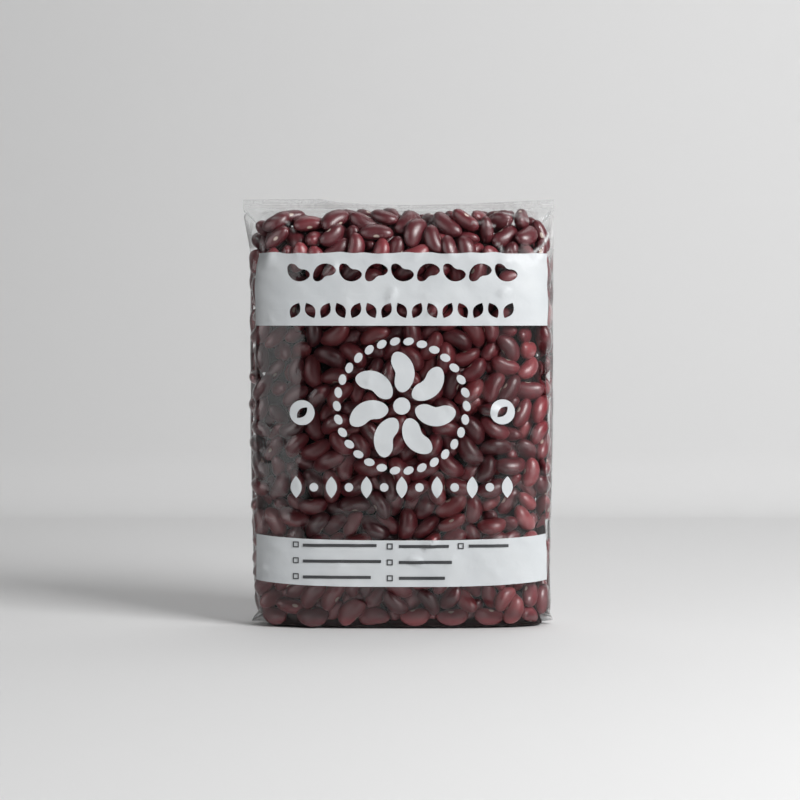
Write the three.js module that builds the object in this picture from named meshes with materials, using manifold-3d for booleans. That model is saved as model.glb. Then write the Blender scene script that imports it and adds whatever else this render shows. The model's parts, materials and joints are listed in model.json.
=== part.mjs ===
// A clear film bag of dried kidney beans, standing upright, in millimetres with +Z up.
// X runs across the printed front, -Y is the front, and the bag stands on a flat base at z = 0.
// The whole is one closed solid: a plump body whose film is pushed out by the beans behind it,
// the flat seal along the top with its loose film corners, and the folded ears at the foot.

import * as THREE from "three";
import { mergeVertices } from "three/addons/utils/BufferGeometryUtils.js";
import Module from "manifold-3d";

const wasm = await Module();
wasm.setup();

// Driving dimensions of the filled body
const bodyWidth = 153.4;
const bodyDepth = 52;
const bodyTop = 208.5;
const shoulderHeight = 188.5;
const footTaper = 0.975;
const topThinning = 0.04;
const sectionPower = 3;

// Rounding of the body: how far it draws in at the foot and at the top corners
const footInset = 8;
const footHeight = 12;
const topCornerInset = 11;
const ridgeHalfDepth = 2.5;

// How far the body stands to the right of its seal, and its foot beyond that
const bodyOffset = 1.6;
const footOffset = 1.2;
const footOffsetHeight = 30;

// One bean, and how far it pushes the film out
const beanLength = 16;
const beanWidth = 8.8;
const beanBend = 1.4;
const beanSizeSpread = 0.12;
const beanRelief = 2.8;
const beanGap = 0.4;
const lowestBean = 7;
const leastSqueeze = 0.7;
const beanThrows = 40000;
const beanSeed = 71;

// A bean's facets: its rim, and its flatter top as a share of the rim's length and width
const rimCorners = 8;
const topCorners = 5;
const topShare = 0.52;
const rimLift = 0.4;

// Slack film between beans and along the edges of the sheet is held by points this far apart
const slackSpacing = 7.5;
const slackThrows = 4000;
const edgeSpacing = 9;
const edgeGap = 3;
const seamOverlap = 40;

// The seal along the top and the loose film below its ends
const sealHalfWidth = 79;
const sealTop = 216.9;
const sealBottom = 208.5;
const sealDip = 3.4;
const filmCornerFoot = 190.5;
const filmThickness = 1.6;

// The ears where the lower seal is folded under
const leftEar = { reach: 78.5, tipHeight: 5, topHeight: 22, side: -1 };
const rightEar = { reach: 75.5, tipHeight: 8, topHeight: 18, side: 1 };
const earRoot = 60;
const earFoot = 0.8;
const earOffset = -2;

const skinHalfWidth = bodyWidth / 2 - beanRelief;
const skinHalfDepth = bodyDepth / 2 - beanRelief;

// A repeatable stream of numbers from 0 to 1
function seededNumbers(seed) {
  let state = seed;
  return () => {
    state = (state * 1664525 + 1013904223) % 4294967296;
    return state / 4294967296;
  };
}

// How much the body draws in where it curves under at the foot
function footDrawIn(height) {
  const fall = Math.max(0, 1 - height / footHeight);
  return footInset * (1 - Math.sqrt(1 - 0.96 * fall * fall));
}

// From 1 below the shoulder down to 0 at the ridge, along a quarter of a circle
function shoulderShare(height) {
  const rise = Math.max(0, (height - shoulderHeight) / (bodyTop - shoulderHeight));
  return Math.sqrt(Math.max(0, 1 - rise * rise));
}

function halfWidthAt(height) {
  const taper = THREE.MathUtils.lerp(footTaper, 1, Math.min(1, (2 * height) / shoulderHeight));
  return skinHalfWidth * taper - footDrawIn(height) - topCornerInset * (1 - shoulderShare(height));
}

function halfDepthAt(height) {
  const thinning = 1 - topThinning * Math.max(0, (2 * height) / shoulderHeight - 1);
  const filled = skinHalfDepth * thinning - footDrawIn(height);
  return THREE.MathUtils.lerp(ridgeHalfDepth, filled, shoulderShare(height));
}

// A point of the smooth skin: turn runs once around the bag, height is above the floor
function skinPoint(turn, height) {
  const across = Math.cos(turn);
  const deep = Math.sin(turn);
  const power = 2 / sectionPower;
  return new THREE.Vector3(
    halfWidthAt(height) * Math.sign(across) * Math.abs(across) ** power,
    halfDepthAt(height) * Math.sign(deep) * Math.abs(deep) ** power,
    height,
  );
}

// Lengths along a line on the skin, so that the skin can be worked on as a flat sheet
function lengthTable(pointAt, end) {
  const steps = 360;
  const table = [{ at: 0, length: 0 }];
  for (let i = 1; i <= steps; i += 1) {
    const at = (end * i) / steps;
    const step = pointAt(at).distanceTo(pointAt((end * (i - 1)) / steps));
    table.push({ at, length: table[i - 1].length + step });
  }
  return table;
}

function placeAlong(table, length) {
  const next = Math.max(1, table.findIndex((row) => row.length >= length));
  const [before, after] = [table[next - 1], table[next]];
  const share = (length - before.length) / (after.length - before.length);
  return THREE.MathUtils.lerp(before.at, after.at, share);
}

const girthTable = lengthTable((turn) => skinPoint(turn, shoulderHeight / 2), 2 * Math.PI);
const riseTable = lengthTable((height) => skinPoint(-Math.PI / 2, height), bodyTop);
const girth = girthTable.at(-1).length;
const rise = riseTable.at(-1).length;
const edgeCount = Math.round(girth / edgeSpacing);

// The skin at a place of the flat sheet: x runs around the bag, y up its front
function skinAt(place) {
  const around = THREE.MathUtils.euclideanModulo(place.x, girth);
  const up = THREE.MathUtils.clamp(place.y, 0, rise);
  return skinPoint(placeAlong(girthTable, around), placeAlong(riseTable, up));
}

// How the skin runs at a place: its directions around and up, and the way out
function skinFrame(place) {
  const step = 0.5;
  const right = skinAt({ x: place.x + step, y: place.y }).sub(skinAt({ x: place.x - step, y: place.y }));
  const above = skinAt({ x: place.x, y: Math.min(place.y + step, rise) });
  const below = skinAt({ x: place.x, y: Math.max(place.y - step, 0) });
  const up = above.sub(below);
  return { right, up, out: right.clone().cross(up).normalize() };
}

function flatDistance(here, there) {
  const apart = Math.abs(here.x - there.x);
  return Math.hypot(Math.min(apart, girth - apart), here.y - there.y);
}

// A place on the sheet from distances along and across a bean's heading
function beside(bean, along, across) {
  const [cos, sin] = [Math.cos(bean.heading), Math.sin(bean.heading)];
  return {
    x: bean.x + ((along * cos - across * sin) * bean.size) / bean.squeeze,
    y: bean.y + (along * sin + across * cos) * bean.size,
  };
}

// The outline of a kidney bean lying on the sheet, as corners around its centre
function beanOutline(bean, corners, share) {
  const outline = [];
  for (let i = 0; i < corners; i += 1) {
    const angle = (2 * Math.PI * (i + 0.5)) / corners;
    const along = Math.cos(angle) * share;
    const bend = beanBend * (along * along - 0.4);
    outline.push(beside(bean, (along * beanLength) / 2, (Math.sin(angle) * share * beanWidth) / 2 + bend));
  }
  return outline;
}

// The middles of three circles along a bean, which its neighbours stay clear of
function beanReach(bean) {
  const out = (beanLength - beanWidth) / 2;
  return [-out, 0, out].map((along) => beside(bean, along, 0));
}

function hasRoom(bean, beans) {
  const room = beanWidth * bean.size + beanGap;
  return beans.every((other) => other.reach.every((there) => (
    bean.reach.every((here) => flatDistance(here, there) >= room)
  )));
}

// Beans thrown at the sheet one by one, kept where they touch no other bean
function scatteredBeans(random) {
  const beans = [];
  for (let thrown = 0; thrown < beanThrows; thrown += 1) {
    const bean = {
      x: random() * girth,
      y: lowestBean + random() * (rise - 2 * lowestBean),
      size: 1 + (random() - 0.5) * 2 * beanSizeSpread,
      heading: random() * Math.PI,
    };
    bean.squeeze = skinFrame(bean).right.length();
    bean.reach = beanReach(bean);
    const inside = bean.reach.every((here) => here.y > lowestBean && here.y < rise - lowestBean);
    if (bean.squeeze > leastSqueeze && inside && hasRoom(bean, beans)) {
      beans.push(bean);
    }
  }
  return beans;
}

// Points of slack film, thrown into the gaps that the other corners leave
function slackCorners(random, corners) {
  const slack = [];
  for (let thrown = 0; thrown < slackThrows; thrown += 1) {
    const place = { x: random() * girth, y: edgeGap + random() * (rise - 2 * edgeGap), lift: 0 };
    if ([...corners, ...slack].every((corner) => flatDistance(corner, place) >= slackSpacing)) {
      slack.push(place);
    }
  }
  return slack;
}

// Every corner of the relief, as a place on the sheet with its lift off the skin:
// first the foot's and the ridge's edge points by turns, then the beans and the slack film
function reliefCorners() {
  const random = seededNumbers(beanSeed);
  const corners = [];
  for (let i = 0; i < edgeCount; i += 1) {
    corners.push({ x: (girth * i) / edgeCount, y: 0, lift: 0 });
    corners.push({ x: (girth * i) / edgeCount, y: rise, lift: 0 });
  }
  for (const bean of scatteredBeans(random)) {
    for (const place of beanOutline(bean, rimCorners, 1)) {
      corners.push({ ...place, lift: rimLift });
    }
    for (const place of beanOutline(bean, topCorners, topShare)) {
      corners.push({ ...place, lift: beanRelief * bean.size });
    }
  }
  corners.push(...slackCorners(random, corners));
  return corners.map((corner) => ({ ...corner, x: THREE.MathUtils.euclideanModulo(corner.x, girth) }));
}

// A triangle of the sheet with the circle through its corners
function circledTriangle(places, a, b, c) {
  const [p, q, r] = [places[a], places[b], places[c]];
  const [qx, qy, rx, ry] = [q.x - p.x, q.y - p.y, r.x - p.x, r.y - p.y];
  const twiceArea = 2 * (qx * ry - qy * rx);
  const [qq, rr] = [qx * qx + qy * qy, rx * rx + ry * ry];
  const x = (ry * qq - qy * rr) / twiceArea;
  const y = (qx * rr - rx * qq) / twiceArea;
  return { corners: [a, b, c], x: p.x + x, y: p.y + y, reach: x * x + y * y };
}

// Joins scattered places into triangles whose circles hold no other place
function joinedTriangles(scattered) {
  const far = 100000;
  const count = scattered.length;
  const places = [...scattered, { x: -far, y: -far }, { x: far, y: -far }, { x: 0, y: far }];
  let triangles = [circledTriangle(places, count, count + 1, count + 2)];
  for (let i = 0; i < count; i += 1) {
    const edges = new Map();
    const kept = [];
    for (const triangle of triangles) {
      const [dx, dy] = [places[i].x - triangle.x, places[i].y - triangle.y];
      if (dx * dx + dy * dy >= triangle.reach) {
        kept.push(triangle);
        continue;
      }
      const [a, b, c] = triangle.corners;
      for (const [from, to] of [[a, b], [b, c], [c, a]]) {
        if (!edges.delete(`${to},${from}`)) {
          edges.set(`${from},${to}`, [from, to]);
        }
      }
    }
    for (const [from, to] of edges.values()) {
      kept.push(circledTriangle(places, from, to, i));
    }
    triangles = kept;
  }
  const corners = triangles.map((triangle) => triangle.corners);
  return corners.filter((three) => three.every((corner) => corner < count));
}

// The sheet's triangles, with the seam closed: corners near it are repeated one girth along
function sheetTriangles(corners) {
  const numbered = corners.map((corner, index) => ({ x: corner.x, y: corner.y, index }));
  const shifted = (from, to, step) => numbered
    .filter((corner) => corner.x > from && corner.x < to)
    .map((corner) => ({ ...corner, x: corner.x + step }));
  const scattered = [
    ...numbered,
    ...shifted(-1, seamOverlap, girth),
    ...shifted(girth - seamOverlap, girth, -girth),
  ].sort((here, there) => here.x - there.x);
  const triangles = [];
  for (const three of joinedTriangles(scattered)) {
    const first = Math.min(...three.map((i) => scattered[i].x));
    if (first >= 0 && first < girth) {
      triangles.push(...three.map((i) => scattered[i].index));
    }
  }
  return triangles;
}

// The filled body: the sheet of film wrapped around the bag and closed at the foot and the ridge
function bodyGeometry() {
  const corners = reliefCorners();
  const triangles = sheetTriangles(corners);
  const positions = corners.flatMap((corner) => (
    skinAt(corner).addScaledVector(skinFrame(corner).out, corner.lift).toArray()
  ));
  const foot = corners.length;
  const ridge = foot + 1;
  positions.push(0, 0, 0, 0, 0, bodyTop);
  for (let i = 0; i < edgeCount; i += 1) {
    const next = (i + 1) % edgeCount;
    triangles.push(2 * next, 2 * i, foot);
    triangles.push(2 * i + 1, 2 * next + 1, ridge);
  }
  const geometry = new THREE.BufferGeometry();
  geometry.setAttribute("position", new THREE.Float32BufferAttribute(positions, 3));
  geometry.setIndex(triangles);
  return geometry;
}

// Turns a three.js geometry into a closed solid that can be joined to others
function solidFrom(geometry) {
  const bare = geometry.clone();
  bare.deleteAttribute("normal");
  bare.deleteAttribute("uv");
  const merged = mergeVertices(bare);
  return new wasm.Manifold(new wasm.Mesh({
    numProp: 3,
    vertProperties: new Float32Array(merged.attributes.position.array),
    triVerts: new Uint32Array(merged.index.array),
  }));
}

function geometryFrom(solid) {
  const mesh = solid.getMesh();
  const geometry = new THREE.BufferGeometry();
  geometry.setAttribute("position", new THREE.BufferAttribute(mesh.vertProperties, mesh.numProp));
  geometry.setIndex(new THREE.BufferAttribute(mesh.triVerts, 1));
  return geometry;
}

// How far to the right the bag's walls stand at a height
function offsetAt(height) {
  const belowSeal = 1 - THREE.MathUtils.smoothstep(height, shoulderHeight, bodyTop);
  const nearFoot = Math.max(0, 1 - height / footOffsetHeight);
  return bodyOffset * belowSeal + footOffset * nearFoot * nearFoot;
}

function setAside(geometry) {
  const corners = geometry.attributes.position;
  for (let i = 0; i < corners.count; i += 1) {
    corners.setX(i, corners.getX(i) + offsetAt(corners.getZ(i)));
  }
  return geometry;
}

// Puts the middle of the shape's width and depth over the origin
function centredOnFloor(geometry) {
  geometry.computeBoundingBox();
  const middle = geometry.boundingBox.getCenter(new THREE.Vector3());
  return geometry.translate(-middle.x, -middle.y, 0);
}

// A flat sheet of film, drawn as an outline across X and Z and centred on the bag's depth
function filmSheet(outline, offset) {
  const geometry = new THREE.ExtrudeGeometry(outline, { depth: filmThickness, bevelEnabled: false });
  geometry.rotateX(Math.PI / 2);
  geometry.translate(0, filmThickness / 2 + offset, 0);
  return geometry;
}

// The top seal, its upper edge dipping in the middle, with the loose film corners below its ends
function sealSheet() {
  const outline = new THREE.Shape();
  const buried = shoulderHeight - 4;
  outline.moveTo(-earRoot, buried);
  outline.lineTo(-halfWidthAt(filmCornerFoot) - beanRelief, filmCornerFoot);
  outline.lineTo(-sealHalfWidth, sealBottom);
  outline.lineTo(-sealHalfWidth, sealTop);
  outline.lineTo(-sealHalfWidth * 0.52, sealTop - 0.4);
  outline.bezierCurveTo(-30, sealTop - 0.4, -30, sealTop - sealDip, -10, sealTop - sealDip);
  outline.lineTo(18, sealTop - sealDip);
  outline.bezierCurveTo(40, sealTop - sealDip, 50, sealTop - 0.6, sealHalfWidth, sealTop - 0.5);
  outline.lineTo(sealHalfWidth, sealBottom);
  outline.lineTo(halfWidthAt(filmCornerFoot) + beanRelief, filmCornerFoot);
  outline.lineTo(earRoot, buried);
  return filmSheet(outline, 0);
}

// One folded ear of film at the foot of the bag
function earSheet(ear) {
  const outline = new THREE.Shape();
  const root = earRoot * ear.side;
  const tip = ear.reach * ear.side;
  outline.moveTo(root, earFoot);
  outline.lineTo(tip - 4 * ear.side, earFoot);
  outline.lineTo(tip, ear.tipHeight);
  outline.lineTo(tip - 3 * ear.side, ear.tipHeight + 4);
  outline.lineTo(tip - 6 * ear.side, ear.topHeight);
  outline.lineTo(root, ear.topHeight);
  return filmSheet(outline, earOffset);
}

function filledBag() {
  let bag = solidFrom(bodyGeometry()).add(solidFrom(sealSheet()));
  for (const ear of [leftEar, rightEar]) {
    bag = bag.add(solidFrom(earSheet(ear)));
  }
  const material = new THREE.MeshStandardMaterial({ color: 0x4e2024, roughness: 0.3, metalness: 0 });
  const mesh = new THREE.Mesh(centredOnFloor(setAside(geometryFrom(bag))), material);
  mesh.name = "filled_bag";
  return mesh;
}

const bagOfBeans = new THREE.Group();
bagOfBeans.add(filledBag());

export default bagOfBeans;
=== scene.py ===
# A clear film bag of dried kidney beans: the beans, the film drawn over them, and its white print.
# Lengths are in millimetres until a mesh is made, which is in metres. -Y is the bag's front.

import itertools
import json
import math

import bpy
import numpy as np
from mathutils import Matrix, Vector
from mathutils.bvhtree import BVHTree
from mathutils.geometry import delaunay_2d_cdt

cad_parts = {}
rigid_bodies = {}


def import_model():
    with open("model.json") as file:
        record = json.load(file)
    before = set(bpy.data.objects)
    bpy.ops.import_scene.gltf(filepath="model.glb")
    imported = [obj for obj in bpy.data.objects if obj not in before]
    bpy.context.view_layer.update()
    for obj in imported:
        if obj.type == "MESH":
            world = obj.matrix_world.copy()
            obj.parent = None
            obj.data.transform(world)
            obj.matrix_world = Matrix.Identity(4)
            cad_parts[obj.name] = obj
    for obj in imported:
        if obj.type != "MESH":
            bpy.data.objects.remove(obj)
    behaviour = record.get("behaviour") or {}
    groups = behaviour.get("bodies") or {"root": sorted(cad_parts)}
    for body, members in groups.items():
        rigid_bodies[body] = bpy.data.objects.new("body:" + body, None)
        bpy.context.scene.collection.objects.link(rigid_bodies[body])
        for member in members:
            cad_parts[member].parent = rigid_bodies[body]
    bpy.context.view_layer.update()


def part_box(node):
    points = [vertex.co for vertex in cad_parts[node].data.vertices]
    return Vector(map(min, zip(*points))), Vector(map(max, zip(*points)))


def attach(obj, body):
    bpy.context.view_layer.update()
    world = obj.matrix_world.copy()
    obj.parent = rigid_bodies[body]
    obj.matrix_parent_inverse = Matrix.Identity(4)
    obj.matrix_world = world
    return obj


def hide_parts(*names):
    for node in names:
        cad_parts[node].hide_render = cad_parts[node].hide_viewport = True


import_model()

METRE = 1000.0
NODE = "filled_bag"
node_high = np.array(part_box(NODE)[1]) * METRE

# The bag's outside, from the solid; between its walls and the beans the film has a little room
SEAL_HALF_WIDTH = node_high[0]
SEAL_TOP = node_high[2]
FILM_ROOM = 0.3
BODY_HALF_DEPTH = node_high[1] - FILM_ROOM
BODY_HALF_WIDTH = SEAL_HALF_WIDTH - 2.3
BODY_TOP = SEAL_TOP - 5.6
SHOULDER = BODY_TOP - 22.8
SECTION_POWER = 3.0

# Rounding of the body at the foot and the top corners
FOOT_TAPER = 0.975
TOP_THINNING = 0.04
FOOT_INSET = 8.0
FOOT_HEIGHT = 12.0
FOOT_ROUNDNESS = 0.96
TOP_CORNER_INSET = 11.0
RIDGE_HALF_DEPTH = 2.5

# How far the body stands to the right of its seal, and its foot beyond that
BODY_OFFSET = 1.6
FOOT_OFFSET = 2.2
FOOT_OFFSET_HEIGHT = 30.0

# One dried kidney bean: its size, how much sizes vary, and its form
BEAN_LENGTH = 16.4
BEAN_WIDTH = 9.6
BEAN_THICKNESS = 7.3
SIZE_SPREAD = 0.1
BEAN_BEND = 1.2
BEND_MIDDLE = 0.35
BEAN_BLUNTNESS = 2.3
BEAN_NOTCH = 0.55
NOTCH_WIDTH = 0.32

# Its balls for the packing: the middle one and one near each end
MIDDLE_BALL = 4.15
END_BALL = 3.5
END_BALL_PLACE = 4.6

# Packing: first places, growth and pushes, and how close beans come to the bag's walls, floor and top
BEAN_SPACING = 9.2
FIRST_SHAKE = 0.3
FIRST_INSET = 2.0
FIRST_SIZE = 0.72
LATER_SIZE = 0.28
GROWING_SHARE = 0.6
PACK_STEPS = 220
STEPS_PER_SEARCH = 4
SEARCH_ROOM = 1.2
PUSH_SHARE = 0.3
WALL_PUSH = 0.9
WALL_PRESS = 0.45
FLOOR_GAP = 1.9
TOP_PRESS = 1.0
WALL_LAYER = 8.0
LAID_FLAT = 0.05
SIDE_AIR = (-0.8, 0.3)

# How far the heap's top lies below the ridge at places across the bag, as shares of its half width
HEAP_TOP = [(-1.0, 11.0), (-0.92, 6.5), (-0.86, 6.0), (-0.77, 0.5), (-0.64, 0.5), (-0.59, 4.4),
            (-0.47, 4.4), (-0.42, 0.5), (0.17, 0.8), (0.23, 3.5), (0.3, 0.8), (0.42, 0.8),
            (0.48, 4.5), (0.53, 0.8), (0.83, 0.5), (0.88, 5.0), (0.94, 6.5), (1.0, 11.0)]

# The film's grid, how it lies on the beans, and the rays that find them
COLUMNS = 360
QUARTER = COLUMNS // 4
GIRTH_POINTS = 20001
WALL_ROWS = 160
GABLE_ROWS = 26
SEAL_ROWS = 8
BASE_ROWS = 10
FILM_FLOOR = 0.7
SOLE_TOP = FILM_FLOOR + 0.2
SEAL_FOOT = BODY_TOP + 0.5
FILM_CLEARANCE = 0.2
FILM_SUCTION = 0.006
SIDE_SUCTION = 0.2
GABLE_SUCTION = 0.02
FILM_ROUNDS = 400
DEEPEST_DENT = 9.0
BARE_DEPTH = 2.0
RAY_START = 5.0
RAY_LENGTH = 20.0
THIN_HALF = 0.25

# How much the film is stretched flat at places from its middle, and where that ends at the shoulder
TAUT_PLACES = (42.0, 51.0)
TAUT_SHARES = (0.6, 0.85)
TAUT_END = (SHOULDER - 6.0, SHOULDER + 6.0)

# Where the narrow sides begin, and the gable where the film closes to the ridge
SIDE_START = (BODY_HALF_WIDTH - 3.0, BODY_HALF_WIDTH - 0.5)
GABLE_START = (SHOULDER + 4.0, SHOULDER + 10.0)

# Slack waves in the film, stronger and with sharp folds in its loose top corners
WAVE_LENGTHS = (34.0, 27.0, 21.0, 16.0, 12.5, 9.5, 7.5, 6.0)
WAVE_BEND = 0.8
BEND_LENGTHS = (31.0, 23.0)
PHASES = 6.0
WALL_WAVE = 0.75
CORNER_WAVE = 2.0
CORNER_FOLDS = 0.5
CORNER_RISE = (SHOULDER - 12.0, SHOULDER + 8.0)
CORNER_SHARES = (0.5, 0.9)
WAVE_FOOT = (2.0, 10.0)
WAVE_TOP = (BODY_TOP - 3.0, BODY_TOP + 1.0)

# The top seal: its upper edge as drops from the top at shares of its half width, its sway and its welds
SEAL_EDGE = [(-1.0, 0.3), (-0.5, 0.0), (-0.4, 1.6), (-0.2, 2.6), (0.1, 3.0), (0.45, 2.3), (1.0, 0.3)]
SEAL_SWAY = 1.1
SWAYS = [(1.0, 17.0, 0.6), (0.55, 7.3, 2.0)]
SWAY_HEIGHT = 3.0
WELD_HEIGHTS = (1.6, 2.8)
WELD_RIDGE = 0.16
WELD_HALF_HEIGHT = 0.35

# Milkiness of the film: plain, on the seal and its welds, in the loose corners and along their edges,
# on the left and right sides, on the foot's ears, and on the seam that runs up the back
CLEAR_HAZE = 0.002
SEAL_HAZE = 0.27
WELD_HAZE = 0.55
WELD_HAZE_HEIGHT = 0.4
CORNER_HAZE = 0.12
EDGE_HAZE = 0.45
EDGE_START = (-2.5, -0.5)
SIDE_HAZE = (0.15, 0.26)
EAR_HAZE = 0.65
LAP_HAZE = 0.16
LAP_EDGE_HAZE = 0.35
LAP_HALF_WIDTH = 5.5
LAP_EDGE_WIDTH = 0.6

# Creases on the front near its top, milky and partly painted glints where they catch the light: from a
# place, to a place, and how milky
CREASES = [((75.5, 199.3), (65.6, 188.9), 0.9), ((47.0, 194.3), (50.3, 189.2), 0.6),
           ((52.6, 209.2), (66.1, 205.1), 0.4), ((36.2, 204.5), (48.6, 202.3), 0.3),
           ((-75.5, 199.0), (-69.5, 190.0), 0.5), ((-64.0, 207.0), (-55.0, 203.5), 0.3)]
CREASE_BOW = 1.0
CREASE_HALF_WIDTH = 0.6

# Ears of folded film at the foot: side, reach, root height, tip height; then the folded strip under the bag
EARS = [(-1, 78.5, 21.0, 4.0), (1, 75.5, 17.0, 6.5)]
EAR_ROOT = 58.0
EAR_FRONT = -3.0
EAR_ROWS = 14
EAR_COLUMNS = 16
EAR_CRUMPLE = 1.1
EAR_FOLDS = (9.0, 17.0, 26.0)
EAR_SLANT = 1.5
EAR_GAP = 0.4
EAR_TIP_RISE = 0.8
EAR_CURVE = 1.3
EAR_HALF = 0.15
STRIP_HALF_LENGTH = 60.0
STRIP_Y = (-8.0, 4.0)
STRIP_HEIGHT = 0.35
STRIP_HALF = 0.25

# Beans are kept in two layers under the film: name, rings, sides, and how deep its beans lie
LAYERS = [("near_beans", 10, 12, -math.inf, 13.0), ("far_beans", 6, 8, 13.0, 21.0)]

# The core behind them, near black as painted shade for the hidden beans deep in the heap and under the
# foot: how far it is drawn in from the wall, its lowest ring and its top
CORE_ROWS = 24
CORE_COLUMNS = 40
CORE_INSET = 13.0
CORE_TOP_INSET = 11.0
CORE_UPPER_INSET = 9.0
CORE_SIDE_SHARE = 0.6
CORE_FOOT = 0.95
CORE_FOOT_INSET = 0.9
CORE_SOLE = (4.5, 15.0)
CORE_TOP_FALL = 1.6

# A bean's looks
BEAN_TUMBLE = 0.42
TONE_MIDDLE = 0.5
TONE_SPREAD = 0.26
# Beans above the shoulder are darker in tone: painted shade on the top of the heap
TOP_PAINTED_SHADE = 0.55
SCAR_HALF_LENGTH = 0.17
SCAR_HALF_WIDTH = 0.2
SCAR_COLOUR = (0.62, 0.52, 0.44)
BEAN_TONES = [(0.1, (0.11, 0.017, 0.023)), (0.5, (0.22, 0.033, 0.043)), (0.9, (0.31, 0.056, 0.064))]

FILM_IOR = 1.45
FILM_GLOSS = 1.15

# The film's sheen by height: gloss cut almost away where it curves under, as painted shade at the foot, and
# less where it closes over the heap
SHEEN_WITH_FOOT_SHADE = [(0.0, 3.0, 7.0, 180.0, 190.0), (0.05, 0.15, 1.0, 1.0, 0.14)]

# The print: how far it lies above the film, the spacing of its points, and the room round its edge points
WHITE_LIFT = 0.14
DARK_LIFT = 0.45
PRINT_SPACING = 1.2
PRINT_MARGIN = 0.3
PRINT_ROOM = 0.6

# The upper white band with its windows, the emblem, the discs, the row of lozenges and the lower band
UPPER_BAND = (152.7, 189.1)
UPPER_WAVE = 0.3
RIPPLES = [(1.0, 13.0, 0.5), (0.6, 29.0, 2.0), (0.5, 43.0, 0.0)]
BAND_POINTS = 126
UPPER_ENDS = (0.957, 0.967)
BEAN_WINDOWS = {"count": 9, "height": 179.3, "half_row": 52.0, "size": (12.2, 7.6), "tilt": 0.45}
BEAN_WINDOW_BEND = 0.7
LEAF_WINDOWS = {"count": 15, "height": 160.3, "half_row": 53.5, "size": (8.6, 5.0), "tilt": 0.5}
EMBLEM_MIDDLE = (0.0, 112.5)
BEADS = {"count": 30, "out": 32.5, "size": (5.4, 3.9), "tilt": 0.35}
PETALS = {"count": 7, "out": 17.2, "size": (20.5, 11.4), "tilt": 0.16}
PETAL_BEND = 0.8
HUB_SIZE = 8.6
DISCS = [(-50.0, 109.1), (50.5, 109.5)]
DISC_SIZE = 12.6
DISC_LEAF = (7.4, 4.0)
DISC_LEAF_TURN = 0.8
LOZENGES = {"count": 13, "height": 71.7, "half_row": 53.0, "size": (11.0, 5.6)}
DOT_SIZE = 4.4
LOWER_BAND = (21.7, 45.1)
LOWER_LIFT = 2.2
LOWER_ENDS = (0.978, 0.966)
BOX_SIZE = 3.0
BOX_LINE = 0.55
BAR_WIDTH = 1.5
BAR_RISE = 0.6

# Its rows' heights and shares of a bar's length, and each column's box, bars' start and length, and rows
LIST_ROWS = [(42.1, 1.0), (34.1, 1.06), (26.1, 0.92)]
LIST_COLUMNS = [(-53.2, -49.6, 37.0, 3), (-6.0, -1.4, 25.0, 3), (29.6, 33.6, 20.0, 1)]

# The camera, the lights and the backdrop, in metres
CAMERA_PLACE = (0.0007, -1.276, 0.1605)
CAMERA_PITCH = 2.06
CAMERA_LENS = 112.5
WALL_DISTANCE = 0.692
STAGE_HALF_WIDTH = 3.0
STAGE_FRONT = -3.0
WALL_HEIGHT = 2.6
COVE_RADIUS = 0.05
KEY_LIGHT = {"place": (0.93, -0.88, 0.78), "size": 0.69, "power": 22.9}
TOP_LIGHT = {"place": (0.2, 0.45, 1.35), "size": 0.9, "power": 4.6}
LEFT_PANEL = {"place": (-0.74, -0.48, 0.3), "size": 1.05, "power": 5.4}
RIGHT_PANEL = {"place": (0.66, -0.62, 0.3), "size": 1.0, "power": 1.6}
LIGHT_TARGET = (0.0, 0.0, 0.1)
WORLD_GREY = 0.165
# Painted shade of the unlit room on the floor: from where it is lit, to where the shade is full, and its
# colour
LIT_FLOOR_FROM = -0.6
DARK_ROOM_FROM = -0.8
ROOM_SHADE_COLOUR = (0.02, 0.02, 0.02)
FLOOR_COLOUR = (0.715, 0.715, 0.715)
WALL_COLOUR = (0.73, 0.73, 0.73)

BEAN_SEED = 12


def fresh_random(seed):
    return np.random.default_rng(seed)


def unit(vectors):
    return vectors / np.maximum(np.linalg.norm(vectors, axis=-1, keepdims=True), 1e-6)


# From 0 at a start up to 1 at an end
def rising(value, start, end):
    return np.clip((value - start) / (end - start), 0, 1)


# The bag's form

# From 0 at the shoulder up to 1 at the top of the body
def gable_rise(z):
    return rising(z, SHOULDER, BODY_TOP)


def shoulder_share(z):
    return np.sqrt(1 - gable_rise(z) ** 2)


def foot_draw_in(z):
    fall = np.clip(1 - z / FOOT_HEIGHT, 0, 1)
    return FOOT_INSET * (1 - np.sqrt(1 - FOOT_ROUNDNESS * fall ** 2))


# How far to the right the bag's walls stand at a height
def offset_at(z):
    rise = gable_rise(z)
    below_seal = 1 - rise * rise * (3 - 2 * rise)
    near_foot = np.clip(1 - z / FOOT_OFFSET_HEIGHT, 0, 1)
    return BODY_OFFSET * below_seal + FOOT_OFFSET * near_foot ** 2


def half_width(z):
    taper = FOOT_TAPER + (1 - FOOT_TAPER) * np.clip(2 * z / SHOULDER, 0, 1)
    return BODY_HALF_WIDTH * taper - foot_draw_in(z) - TOP_CORNER_INSET * (1 - shoulder_share(z))


def half_depth(z):
    thinning = 1 - TOP_THINNING * np.clip(2 * z / SHOULDER - 1, 0, None)
    filled = BODY_HALF_DEPTH * thinning - foot_draw_in(z)
    return RIDGE_HALF_DEPTH + (filled - RIDGE_HALF_DEPTH) * shoulder_share(z)


# The bag's cross-section, in shares of its half width and half depth, at some turns
def unit_section(turn):
    cos, sin = np.cos(turn), np.sin(turn)
    power = 2 / SECTION_POWER
    return np.sign(cos) * np.abs(cos) ** power, np.sign(sin) * np.abs(sin) ** power


# How far the heap's top lies below the ridge at places across the bag
def heap_drop(x):
    return np.interp(x / BODY_HALF_WIDTH, *zip(*HEAP_TOP))


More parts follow.
